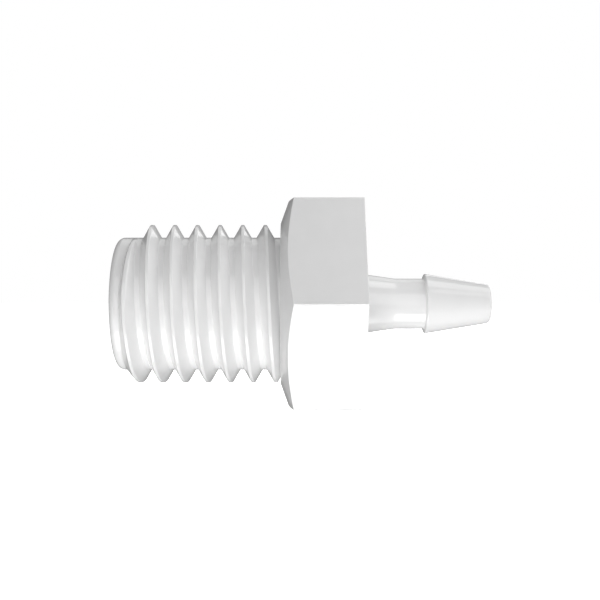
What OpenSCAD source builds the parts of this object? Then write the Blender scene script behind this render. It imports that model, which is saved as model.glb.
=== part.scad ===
// Small threaded hose-barb fitting, one plastic moulding with a through passage.
// The passage runs along X: threaded shank towards -X, hose barb towards +X.
// The origin is on the axis in the plane of the hexagon's shoulder. Millimetres.

/* [Threaded shank] */
// Outside diameter over the thread crests
major_d = 6.35; // [6.2:0.01:6.4]
// Diameter of the thread root and of the plain nose
root_d = 5.33; // [5.2:0.01:5.4]
// Axial distance from one crest to the next
pitch = 0.907; // [0.88:0.001:0.92]
// Length from the shoulder to the end of the nose
shank_len = 6.515; // [6.3:0.005:8]
// Radius on the end edge of the nose
nose_fillet = 0.26; // [0.1:0.01:0.28]

/* [Hexagon] */
// Width across the hexagon's flats
hex_af = 8.11; // [7.6:0.01:9]
// Length of the hexagon along the axis
hex_len = 3.215; // [2.8:0.005:5]
// Diameter of the flat shoulder ring, where the chamfer starts
shoulder_d = 6.48; // [6.42:0.02:7]
// Slope of the chamfer away from the shoulder plane, degrees
chamfer_deg = 19.8; // [10:0.1:24]

/* [Hose stem] */
// Stem diameter where it leaves the hexagon
flare_d = 2.42; // [2.1:0.01:2.6]
// Diameter of the straight neck
neck_d = 2.02; // [1.8:0.01:2.05]
// Distance from the shoulder to the end of the flare, past the hexagon
flare_len = 1.37; // [1:0.005:1.6]
// Length of the straight neck
neck_len = 1.155; // [0.8:0.01:2]
// Largest diameter of the barb
barb_d = 2.41; // [2.2:0.01:2.6]
// Length of the barb from its back face to the tip
barb_len = 2.66; // [2.2:0.01:3.5]
// Diameter of the tip before its rounded edge
tip_d = 1.56; // [1.4:0.01:1.7]

/* [Passage] */
// Diameter of the passage through the stem
stem_bore_d = 1.0; // [0.8:0.01:1.1]
// Diameter of the wider passage through the shank
shank_bore_d = 2.4; // [1.6:0.01:3]

/* [Hidden] */

round_fn = 96;
root_r = root_d / 2;
crest_r = major_d / 2;
ridge_h = crest_r - root_r;
thread_start = -shank_len + 0.3;
shoulder_r = shoulder_d / 2;
corner_r = hex_af / 2 / cos(30);
flare_end = hex_len + flare_len;
neck_end = flare_end + neck_len;
stem_end = neck_end + barb_len;
barb_rise = 0.05;
tip_fillet = 0.1;
// The wide passage narrows to the stem passage in a short cone inside the hexagon
step_start = 0.7;
step_end = step_start + (shank_bore_d - stem_bore_d) / 2;

// Thread ridge: a right-hand helix measured from +Z towards -Y
steps_per_turn = 72;
flank_run = tan(30);
crest_half = pitch / 16;
top_crest = -5.172;
sink = 0.06;
run_in_from = 8;
run_in_to = 95;
ridge_turns = 6.93;
run_out_turns = 0.4;
step_deg = 360 / steps_per_turn;
ridge_steps = round(ridge_turns * steps_per_turn);
run_in_edge = top_crest - 0.75 * pitch - crest_half - 0.03;

function clamp01(v) = min(1, max(0, v));
function ridge_in(a) = clamp01((a - run_in_from) / (run_in_to - run_in_from));
function ridge_out(a) =
    clamp01((ridge_turns * 360 - a) / (run_out_turns * 360));
function ridge_top(a) =
    root_r - sink / 2 + (ridge_h + sink / 2) * min(ridge_in(a), ridge_out(a));
function ridge_centre(a) = top_crest - pitch + pitch * a / 360;
// The leading flank slackens over the first half turn, then settles to 30 degrees
function lead_run(a) =
    flank_run + 0.36 * min(clamp01((a - 90) / 90), clamp01((330 - a) / 150));
function crest_left(a) = max(run_in_edge
    + 0.12 * clamp01((run_in_to - a) / (run_in_to - run_in_from)),
    ridge_centre(a) - crest_half);
function foot_depth(a) = ridge_top(a) - root_r + sink;
function right_top(a) =
    ridge_centre(a) + crest_half
    + (crest_r - ridge_top(a)) * flank_run;
function section(a) = [
    [crest_left(a) - foot_depth(a) * lead_run(a), root_r - sink],
    [crest_left(a), ridge_top(a)],
    [max(crest_left(a) + 0.02, right_top(a)), ridge_top(a)],
    [ridge_centre(a) + crest_half + (ridge_h + sink) * flank_run,
     root_r - sink]
];
function on_shank(p, a) = [p[0], -p[1] * sin(a), p[1] * cos(a)];

module revolve(outline) {
    rotate([0, 90, 0]) rotate_extrude($fn = round_fn) polygon(outline);
}

module rod(r, from, to) {
    translate([from, 0, 0]) rotate([0, 90, 0])
        cylinder(r = r, h = to - from, $fn = round_fn);
}

module ridge_solid() {
    rings = [for (i = [0 : ridge_steps]) section(i * step_deg)];
    points = [for (i = [0 : ridge_steps]) for (j = [0 : 3])
        on_shank(rings[i][j], i * step_deg)];
    sides = [for (i = [0 : ridge_steps - 1]) for (j = [0 : 3]) for (k = [0, 1])
        let (a = 4 * i + j, b = 4 * i + (j + 1) % 4, c = a + 4, d = b + 4)
        k == 0 ? [a, c, b] : [b, c, d]];
    last = 4 * ridge_steps;
    caps = [[0, 1, 2], [0, 2, 3],
            [last + 2, last + 1, last], [last + 3, last + 2, last]];
    polyhedron(points = points, faces = concat(sides, caps), convexity = 12);
}

module pilot_nose() {
    color([0.9, 0.9, 0.89]) difference() {
        rotate([0, 90, 0]) rotate_extrude($fn = round_fn) union() {
            translate([0, -shank_len]) square([root_r - nose_fillet, 0.3]);
            translate([0, nose_fillet - shank_len])
                square([root_r, 0.3 - nose_fillet]);
            translate([root_r - nose_fillet, nose_fillet - shank_len])
                circle(r = nose_fillet, $fn = 48);
        }
        rod(shank_bore_d / 2, -shank_len - 1, 0);
    }
}

module shank_core() {
    color([0.88, 0.88, 0.87]) difference() {
        rod(root_r, thread_start, 0);
        rod(shank_bore_d / 2, -shank_len - 1, 1);
    }
}

module thread_ridge() {
    color([0.92, 0.92, 0.91]) difference() {
        intersection() {
            ridge_solid();
            rod(crest_r + 1, -shank_len, 0);
        }
        rod(root_r, -shank_len - 1, 1);
    }
}

module hex_collar() {
    color([0.9, 0.9, 0.89]) difference() {
        intersection() {
            rotate([0, 90, 0]) rotate([0, 0, 90])
                cylinder(r = corner_r, h = hex_len, $fn = 6);
            revolve([[0, 0], [shoulder_r, 0],
                [corner_r + 1, (corner_r + 1 - shoulder_r) * tan(chamfer_deg)],
                [corner_r + 1, hex_len], [0, hex_len]]);
        }
        revolve([[0, -1], [shank_bore_d / 2, -1],
            [shank_bore_d / 2, step_start], [stem_bore_d / 2, step_end],
            [stem_bore_d / 2, hex_len + 1], [0, hex_len + 1]]);
    }
}

module stem_flare() {
    color([0.88, 0.88, 0.87])
        revolve([[stem_bore_d / 2, hex_len], [flare_d / 2, hex_len],
            [neck_d / 2, flare_end], [stem_bore_d / 2, flare_end]]);
}

module stem_neck() {
    color([0.9, 0.9, 0.89]) difference() {
        rod(neck_d / 2, flare_end, neck_end);
        rod(stem_bore_d / 2, flare_end - 1, neck_end + 1);
    }
}

module barb_head() {
    color([0.92, 0.92, 0.91]) difference() {
        rotate([0, 90, 0]) rotate_extrude($fn = round_fn) union() {
            polygon([[0, neck_end], [neck_d / 2, neck_end],
                [barb_d / 2, neck_end + barb_rise],
                [tip_d / 2, stem_end - tip_fillet],
                [0, stem_end - tip_fillet]]);
            translate([0, stem_end - tip_fillet - 0.05])
                square([tip_d / 2 - tip_fillet, tip_fillet + 0.05]);
            translate([tip_d / 2 - tip_fillet, stem_end - tip_fillet])
                circle(r = tip_fillet, $fn = 32);
        }
        rod(stem_bore_d / 2, neck_end - 1, stem_end + 1);
    }
}

pilot_nose();
shank_core();
thread_ridge();
hex_collar();
stem_flare();
stem_neck();
barb_head();
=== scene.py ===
"""Small threaded hose-barb fitting in moulded plastic, on a pale studio floor.

Lengths in this file are millimetres until mesh_from() turns them into metres.
X runs along the passage, thread towards -X and barb towards +X, +Z is up.
"""

import math

import bpy
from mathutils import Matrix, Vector


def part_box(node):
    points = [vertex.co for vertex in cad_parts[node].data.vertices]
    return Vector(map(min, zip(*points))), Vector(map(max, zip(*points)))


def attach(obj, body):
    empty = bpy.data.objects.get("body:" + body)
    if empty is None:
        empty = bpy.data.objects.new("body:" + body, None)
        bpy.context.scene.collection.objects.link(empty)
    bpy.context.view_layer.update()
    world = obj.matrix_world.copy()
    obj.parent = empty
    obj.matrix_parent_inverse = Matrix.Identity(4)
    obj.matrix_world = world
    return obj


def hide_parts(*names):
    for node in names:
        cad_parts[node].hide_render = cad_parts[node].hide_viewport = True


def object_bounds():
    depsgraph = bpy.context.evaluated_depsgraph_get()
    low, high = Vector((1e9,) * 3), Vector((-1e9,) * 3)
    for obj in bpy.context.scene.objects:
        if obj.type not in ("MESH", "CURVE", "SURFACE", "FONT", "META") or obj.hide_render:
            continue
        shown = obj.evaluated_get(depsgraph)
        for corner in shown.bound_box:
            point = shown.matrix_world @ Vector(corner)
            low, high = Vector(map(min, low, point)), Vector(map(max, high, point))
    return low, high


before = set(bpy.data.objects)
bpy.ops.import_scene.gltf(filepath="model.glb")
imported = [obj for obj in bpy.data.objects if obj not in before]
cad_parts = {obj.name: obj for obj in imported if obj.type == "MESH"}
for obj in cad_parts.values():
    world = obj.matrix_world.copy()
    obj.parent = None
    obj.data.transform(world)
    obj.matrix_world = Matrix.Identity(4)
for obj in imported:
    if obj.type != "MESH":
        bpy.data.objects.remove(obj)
cad_low, cad_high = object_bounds()

MM = 0.001
SEGMENTS = 160
STEM_SEGMENTS = 128

# ---------------------------------------------------------------- dimensions
nose_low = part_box("pilot_nose")[0]
core_low, core_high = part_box("shank_core")
hex_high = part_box("hex_collar")[1]
flare_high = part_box("stem_flare")[1]
neck_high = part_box("stem_neck")[1]
barb_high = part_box("barb_head")[1]

NOSE_X = nose_low.x / MM
HEX_END_X = hex_high.x / MM
FLARE_END_X = flare_high.x / MM
NECK_END_X = neck_high.x / MM
TIP_X = barb_high.x / MM
ROOT_R = core_high.z / MM
CREST_R = 3.175
HALF_FLATS = hex_high.z / MM
FLARE_R = flare_high.z / MM
NECK_R = neck_high.z / MM
BARB_R = barb_high.z / MM

SHANK_BORE_R = 1.2
STEM_BORE_R = 0.5
BORE_STEP = (0.7, 1.4)
NOSE_FILLET = 0.26
SHANK_START_X = core_low.x / MM
SHOULDER_R = 3.24
CHAMFER_RUN = math.tan(math.radians(19.8))
BARB_RISE = 0.05
TIP_R = 0.78
TIP_FILLET = 0.1

PITCH = 0.907
FLANK_RUN = math.tan(math.radians(30))
CREST_HALF = PITCH / 16
RIDGE_H = CREST_R - ROOT_R
TOP_CREST = -5.172
RIDGE_TURNS = 6.93

# Run-in: angles in degrees from the start of the ridge
RUN_IN_X = -5.94
RUN_IN_DRIFT = 0.12
GROW_FROM, GROW_TO = 8, 95
GENTLE_FROM, GENTLE_FULL = 90, 180
GENTLE_UNTIL, GENTLE_FADE = 330, 150
GENTLE_RUN = 0.36
STEEP_UNTIL, STEEP_FADE = 180, 60
STEEP_RUN = 0.19
FADE_TURNS = 0.4
SINK = 0.03
CREST_BLEND, ROOT_BLEND = 0.02, 0.035


# --------------------------------------------------------------- mesh helpers
def mesh_from(name, points, faces, sharp_deg=34.0):
    """A smooth-shaded object whose points are given in millimetres."""
    mesh = bpy.data.meshes.new(name)
    mesh.from_pydata([(x * MM, y * MM, z * MM) for x, y, z in points], [], faces)
    mesh.validate()
    mesh.update()
    obj = bpy.data.objects.new(name, mesh)
    bpy.context.collection.objects.link(obj)
    mesh.polygons.foreach_set("use_smooth", [True] * len(mesh.polygons))
    mesh.set_sharp_from_angle(angle=math.radians(sharp_deg))
    return obj


def rounded(corners, arc_steps=6):
    """The open outline through (x, r, fillet) corners, with each fillet cut as an arc."""
    out = []
    for i, (x, r, fillet) in enumerate(corners):
        here = Vector((x, r))
        if fillet <= 0 or i in (0, len(corners) - 1):
            out.append((x, r))
            continue
        back = (Vector(corners[i - 1][:2]) - here).normalized()
        on = (Vector(corners[i + 1][:2]) - here).normalized()
        half = back.angle(on) / 2
        tangent = fillet / math.tan(half)
        start, end = here + back * tangent, here + on * tangent
        centre = here + (back + on).normalized() * (fillet / math.sin(half))
        a, b = start - centre, end - centre
        turn = a.angle_signed(b)
        for k in range(arc_steps + 1):
            spin = -turn * k / arc_steps
            c, s = math.cos(spin), math.sin(spin)
            out.append((centre.x + a.x * c - a.y * s, centre.y + a.x * s + a.y * c))
    return out


def subdivide(outline, step):
    """Extra points along an outline so that no span is longer than step."""
    out = [outline[0]]
    for (x0, r0), (x1, r1) in zip(outline, outline[1:]):
        n = max(1, math.ceil(math.hypot(x1 - x0, r1 - r0) / step))
        for k in range(1, n + 1):
            out.append((x0 + (x1 - x0) * k / n, r0 + (r1 - r0) * k / n))
    return out


def around(x, r, angle):
    """A point at that angle, measured from +Z towards -Y."""
    return (x, -r * math.sin(angle), r * math.cos(angle))


def even_angles(segments):
    return [math.tau * j / segments for j in range(segments)]


def revolve(name, outline_at, angles, sharp_deg=34.0):
    """A closed ring: outline_at(angle) gives a closed outline of (x, r) points."""
    points, faces = [], []
    rings = [outline_at(angle) for angle in angles]
    n = len(rings[0])
    for angle, ring in zip(angles, rings):
        points += [around(x, r, angle) for x, r in ring]
    for j in range(len(angles)):
        k = (j + 1) % len(angles)
        for i in range(n):
            m = (i + 1) % n
            faces.append((j * n + i, j * n + m, k * n + m, k * n + i))
    return mesh_from(name, points, faces, sharp_deg)


# -------------------------------------------------------------------- thread
def clamp01(v):
    return min(1.0, max(0.0, v))


def soft_min(a, b, k):
    h = max(k - abs(a - b), 0.0) / k
    return min(a, b) - h * h * k / 4


def soft_max(a, b, k):
    return -soft_min(-a, -b, k)


def ridge_height(x, turn):
    """Radius of the ridge that is at angle turn (in turns from its start) at x."""
    degrees = turn * 360
    if degrees < 0 or turn > RIDGE_TURNS:
        return 0.0
    grow_span = GROW_TO - GROW_FROM
    grow = clamp01((degrees - GROW_FROM) / grow_span)
    fade = clamp01((RIDGE_TURNS - turn) / FADE_TURNS)
    top = ROOT_R - SINK + (RIDGE_H + SINK) * min(grow, fade)
    centre = TOP_CREST - PITCH + PITCH * turn
    drift = RUN_IN_DRIFT * clamp01((GROW_TO - degrees) / grow_span)
    left = max(RUN_IN_X + drift, centre - CREST_HALF)
    gentle_in = clamp01((degrees - GENTLE_FROM) / (GENTLE_FULL - GENTLE_FROM))
    gentle_out = clamp01((GENTLE_UNTIL - degrees) / GENTLE_FADE)
    steep = clamp01((STEEP_UNTIL - degrees) / STEEP_FADE)
    run = FLANK_RUN + GENTLE_RUN * min(gentle_in, gentle_out) - STEEP_RUN * steep
    right = centre + CREST_HALF + (CREST_R - top) * FLANK_RUN
    rise = top - (left - x) / run
    fall = top - (x - right) / FLANK_RUN
    return soft_min(soft_min(rise, fall, CREST_BLEND), top, CREST_BLEND)


def shank_radius(x, angle):
    base = (x - TOP_CREST) / PITCH + 1 - angle / math.tau
    k = round(base)
    best = max(ridge_height(x, m + angle / math.tau) for m in (k - 1, k, k + 1))
    return soft_max(best, ROOT_R, ROOT_BLEND)


def pitch_marks():
    """Offsets across one pitch, closer together at the crest's and root's edges."""
    even_marks, edge_gap, least_gap = 28, 0.011, 0.006
    crest = CREST_HALF / PITCH
    foot = crest + RIDGE_H * FLANK_RUN / PITCH
    marks = set()
    for edge in (-foot, -crest, crest, foot):
        for d in range(-4, 5):
            marks.add(round(edge + d * edge_gap, 5))
    for d in range(even_marks):
        marks.add(round(-0.5 + d / even_marks, 5))
    marks = sorted(m for m in marks if -0.5 <= m < 0.5)
    kept = [marks[0]]
    for m in marks[1:]:
        if m - kept[-1] > least_gap:
            kept.append(m)
    return kept


def threaded_shank():
    steps = SEGMENTS
    kept = pitch_marks()
    points, faces, seen = [], [], {}

    def vertex(j, x):
        key = (j % steps, round(x, 6))
        if key not in seen:
            angle = math.tau * key[0] / steps
            seen[key] = len(points)
            points.append(around(x, shank_radius(x, angle), angle))
        return seen[key]

    def columns(j):
        shift = TOP_CREST + PITCH * j / steps
        xs = [shift + PITCH * (t + m) for t in range(-3, 8) for m in kept]
        return [vertex(j, min(0.0, max(SHANK_START_X, x))) for x in xs]

    rows = [columns(j) for j in range(steps + 1)]
    for a, b in zip(rows, rows[1:]):
        for c in range(len(a) - 1):
            corners = []
            for v in (a[c], a[c + 1], b[c + 1], b[c]):
                if v not in corners:
                    corners.append(v)
            if len(corners) > 2:
                faces.append(tuple(corners))
    left = [vertex(j, SHANK_START_X) for j in range(steps)]
    right = [vertex(j, 0.0) for j in range(steps)]
    base = len(points)
    for x in (SHANK_START_X, 0.0):
        for j in range(steps):
            points.append(around(x, SHANK_BORE_R, math.tau * j / steps))
    for j in range(steps):
        k = (j + 1) % steps
        faces.append((left[j], left[k], base + k, base + j))
        faces.append((right[k], right[j], base + steps + j, base + steps + k))
        faces.append((base + j, base + k, base + steps + k, base + steps + j))
    return mesh_from("threaded_shank", points, faces, sharp_deg=50.0)


# ---------------------------------------------------------------------- pieces
def nose_end():
    outline = rounded(
        [
            (SHANK_START_X, SHANK_BORE_R, 0),
            (NOSE_X, SHANK_BORE_R, 0.08),
            (NOSE_X, ROOT_R, NOSE_FILLET),
            (SHANK_START_X, ROOT_R, 0),
        ],
        arc_steps=10,
    )
    return revolve("nose_end", lambda angle: outline, even_angles(SEGMENTS))


def hex_radius(angle, corner=0.04):
    """Distance from the axis to the hexagon's wall, with its six edges rounded."""
    sector = math.radians(60)
    off = (angle + sector / 2) % sector - sector / 2
    flat = HALF_FLATS / math.cos(off)
    # The rounded edge is a small arc centred inside the corner
    reach = HALF_FLATS / math.cos(sector / 2)
    centre = reach - corner / math.cos(sector / 2)
    gap = sector / 2 - abs(off)
    under = corner * corner - (centre * math.sin(gap)) ** 2
    if under <= 0:
        return flat
    arc = centre * math.cos(gap) + math.sqrt(under)
    return min(flat, arc)


def hexagon():
    even_steps, corner_step = 240, math.radians(0.16)
    angles = {round(angle, 6) for angle in even_angles(even_steps)}
    for k in range(6):
        corner = math.radians(30 + 60 * k)
        for d in range(-8, 9):
            angles.add(round((corner + d * corner_step) % math.tau, 6))

    def outline(angle):
        wall = hex_radius(angle)
        rim_x = (wall - SHOULDER_R) * CHAMFER_RUN
        return rounded(
            [
                (BORE_STEP[0], SHANK_BORE_R, 0),
                (0.0, SHANK_BORE_R, 0),
                (0.0, SHOULDER_R, 0.05),
                (rim_x, wall, 0.025),
                (HEX_END_X, wall, 0.025),
                (HEX_END_X, STEM_BORE_R, 0),
                (BORE_STEP[1], STEM_BORE_R, 0),
            ]
        )

    return revolve("hex_collar_body", outline, sorted(angles), sharp_deg=30.0)


def stem():
    outline = subdivide(
        rounded(
            [
                (HEX_END_X, STEM_BORE_R, 0),
                (HEX_END_X, FLARE_R, 0),
                (FLARE_END_X, NECK_R, 1.6),
                (NECK_END_X - 0.02, NECK_R, 0),
                (NECK_END_X - 0.02, STEM_BORE_R, 0),
            ],
            arc_steps=10,
        ),
        0.12,
    )
    return revolve("hose_stem", lambda angle: outline, even_angles(STEM_SEGMENTS))


def barb():
    outline = subdivide(
        rounded(
            [
                (NECK_END_X - 0.02, STEM_BORE_R, 0),
                (NECK_END_X - 0.02, NECK_R, 0),
                (NECK_END_X, NECK_R, 0.02),
                (NECK_END_X + BARB_RISE, BARB_R, 0.03),
                (TIP_X - 0.02, TIP_R, TIP_FILLET),
                (TIP_X, STEM_BORE_R + 0.04, 0.02),
                (TIP_X - 0.05, STEM_BORE_R, 0),
            ],
            arc_steps=8,
        ),
        0.15,
    )
    return revolve("barb_tip", lambda angle: outline, even_angles(STEM_SEGMENTS))


# ------------------------------------------------------------------- material
def moulded_plastic(name, seed):
    material = bpy.data.materials.new(name)
    material.use_nodes = True
    tree = material.node_tree
    nodes, links = tree.nodes, tree.links
    shader = nodes["Principled BSDF"]
    shader.inputs["IOR"].default_value = 1.6
    coords = nodes.new("ShaderNodeTexCoord")

    def noise(scale, detail, offset):
        shift = nodes.new("ShaderNodeMapping")
        shift.inputs["Location"].default_value = (seed, offset, seed * 0.5)
        links.new(coords.outputs["Object"], shift.inputs["Vector"])
        node = nodes.new("ShaderNodeTexNoise")
        node.inputs["Scale"].default_value = scale
        node.inputs["Detail"].default_value = detail
        links.new(shift.outputs["Vector"], node.inputs["Vector"])
        return node.outputs["Fac"]

    def ramp(value, low, high, lo_at=0.35, hi_at=0.65):
        node = nodes.new("ShaderNodeValToRGB")
        node.color_ramp.elements[0].position = lo_at
        node.color_ramp.elements[1].position = hi_at
        node.color_ramp.elements[0].color = (*low, 1)
        node.color_ramp.elements[1].color = (*high, 1)
        links.new(value, node.inputs["Fac"])
        return node.outputs["Color"]

    cloud = noise(1400.0, 3.0, 0.3)
    tint = ramp(cloud, (0.885, 0.885, 0.885), (0.90, 0.90, 0.90))
    links.new(tint, shader.inputs["Base Color"])

    patch = noise(1900.0, 3.0, 1.7)
    rough = nodes.new("ShaderNodeMapRange")
    rough.inputs["To Min"].default_value = 0.09
    rough.inputs["To Max"].default_value = 0.12
    links.new(patch, rough.inputs["Value"])
    links.new(rough.outputs["Result"], shader.inputs["Roughness"])

    grain = noise(9000.0, 2.0, 2.9)
    bump = nodes.new("ShaderNodeBump")
    bump.inputs["Strength"].default_value = 0.03
    bump.inputs["Distance"].default_value = 0.00001
    links.new(grain, bump.inputs["Height"])
    links.new(bump.outputs["Normal"], shader.inputs["Normal"])
    return material


def plain(name, colour, strength):
    material = bpy.data.materials.new(name)
    material.use_nodes = True
    shader = material.node_tree.nodes["Principled BSDF"]
    shader.inputs["Base Color"].default_value = (*colour, 1)
    shader.inputs["Roughness"].default_value = 0.8
    shader.inputs["Emission Color"].default_value = (1, 1, 1, 1)
    shader.inputs["Emission Strength"].default_value = strength
    return material


plastic = moulded_plastic("moulded_plastic", 0.0)
for piece, nodes_replaced in (
    (nose_end(), ("pilot_nose",)),
    (threaded_shank(), ("shank_core", "thread_ridge")),
    (hexagon(), ("hex_collar",)),
    (stem(), ("stem_flare", "stem_neck")),
    (barb(), ("barb_head",)),
):
    piece.data.materials.append(plastic)
    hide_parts(*nodes_replaced)
    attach(piece, "root")


# ---------------------------------------------------------- floor, sky, lights
def plane(name, corners, material):
    mesh = bpy.data.meshes.new(name)
    mesh.from_pydata(corners, [], [(0, 1, 2, 3)])
    obj = bpy.data.objects.new(name, mesh)
    bpy.context.collection.objects.link(obj)
    obj.data.materials.append(material)
    return obj


# The floor and the sky are white to the camera alone: the softboxes light the part
reach = 1.0
floor = plane(
    "floor",
    [(x, y, cad_low.z) for x, y in ((-reach, -reach), (reach, -reach), (reach, reach), (-reach, reach))],
    plain("floor_white", (0.9, 0.9, 0.9), 1.0),
)
floor.visible_diffuse = floor.visible_shadow = False
floor.visible_glossy = floor.visible_transmission = False

def studio_sky():
    """A dim even fill for the part, and plain white where the camera sees past it."""
    world = bpy.data.worlds.new("studio")
    world.use_nodes = True
    nodes, links = world.node_tree.nodes, world.node_tree.links
    fill = nodes["Background"]
    fill.inputs["Color"].default_value = (1, 1, 1, 1)
    fill.inputs["Strength"].default_value = 0.2
    seen = nodes.new("ShaderNodeBackground")
    seen.inputs["Color"].default_value = (1, 1, 1, 1)
    ray = nodes.new("ShaderNodeLightPath")
    choice = nodes.new("ShaderNodeMixShader")
    links.new(ray.outputs["Is Camera Ray"], choice.inputs["Fac"])
    links.new(fill.outputs["Background"], choice.inputs[1])
    links.new(seen.outputs["Background"], choice.inputs[2])
    links.new(choice.outputs["Shader"], nodes["World Output"].inputs["Surface"])
    return world


bpy.context.scene.world = studio_sky()


def softbox(name, azimuth, elevation, strength, width=0.09):
    """A soft square light that faces the fitting.

    The azimuth is in degrees from the front (-Y) towards +X. A wider box gives
    the same light and a fainter, softer reflection.
    """
    distance, watts_per_strength = 0.16, 0.0254
    light = bpy.data.lights.new(name, "AREA")
    light.size = width
    light.energy = strength * watts_per_strength
    obj = bpy.data.objects.new(name, light)
    bpy.context.collection.objects.link(obj)
    az, el = math.radians(azimuth), math.radians(elevation)
    away = Vector((math.sin(az) * math.cos(el), -math.cos(az) * math.cos(el), math.sin(el)))
    obj.location = away * distance
    obj.rotation_euler = away.to_track_quat("Z", "Y").to_euler()
    return obj


# The key stands low in front: the thread's highlights sit well under its middle.
# The stem's side is the light one and the nose's side the dark one.
KEY = 6.0
softbox("key", 0, -68, KEY, width=0.11)
softbox("front_fill", 0, 20, KEY * 0.6, width=0.15)
softbox("nose_side", -40, -40, KEY * 0.4, width=0.12)
softbox("stem_side", 70, 30, KEY * 0.6, width=0.15)
softbox("stem_side_top", 90, 60, KEY * 0.3)
softbox("stem_side_low", 60, -50, KEY * 0.2, width=0.15)
softbox("rim", 150, 15, KEY * 0.2)
softbox("back", 180, 45, KEY * 0.1)


# ---------------------------------------------------------------------- camera
# The photo is a close-up: the eye is about 39 mm in front of the axis and a
# little right of the shoulder, and the part hangs slightly left in the frame
EYE = Vector((0.486, -38.866, 0.148)) * MM
camera_data = bpy.data.cameras.new("camera")
camera = bpy.data.objects.new("camera", camera_data)
bpy.context.collection.objects.link(camera)
camera_data.sensor_width = 36.0
camera_data.lens = 57.6
camera_data.shift_x = 0.01167
camera_data.clip_start, camera_data.clip_end = 0.001, 10.0
camera.location = EYE
camera.rotation_euler = (math.radians(90), 0, 0)
bpy.context.scene.camera = camera
bpy.context.scene.view_settings.view_transform = "Standard"
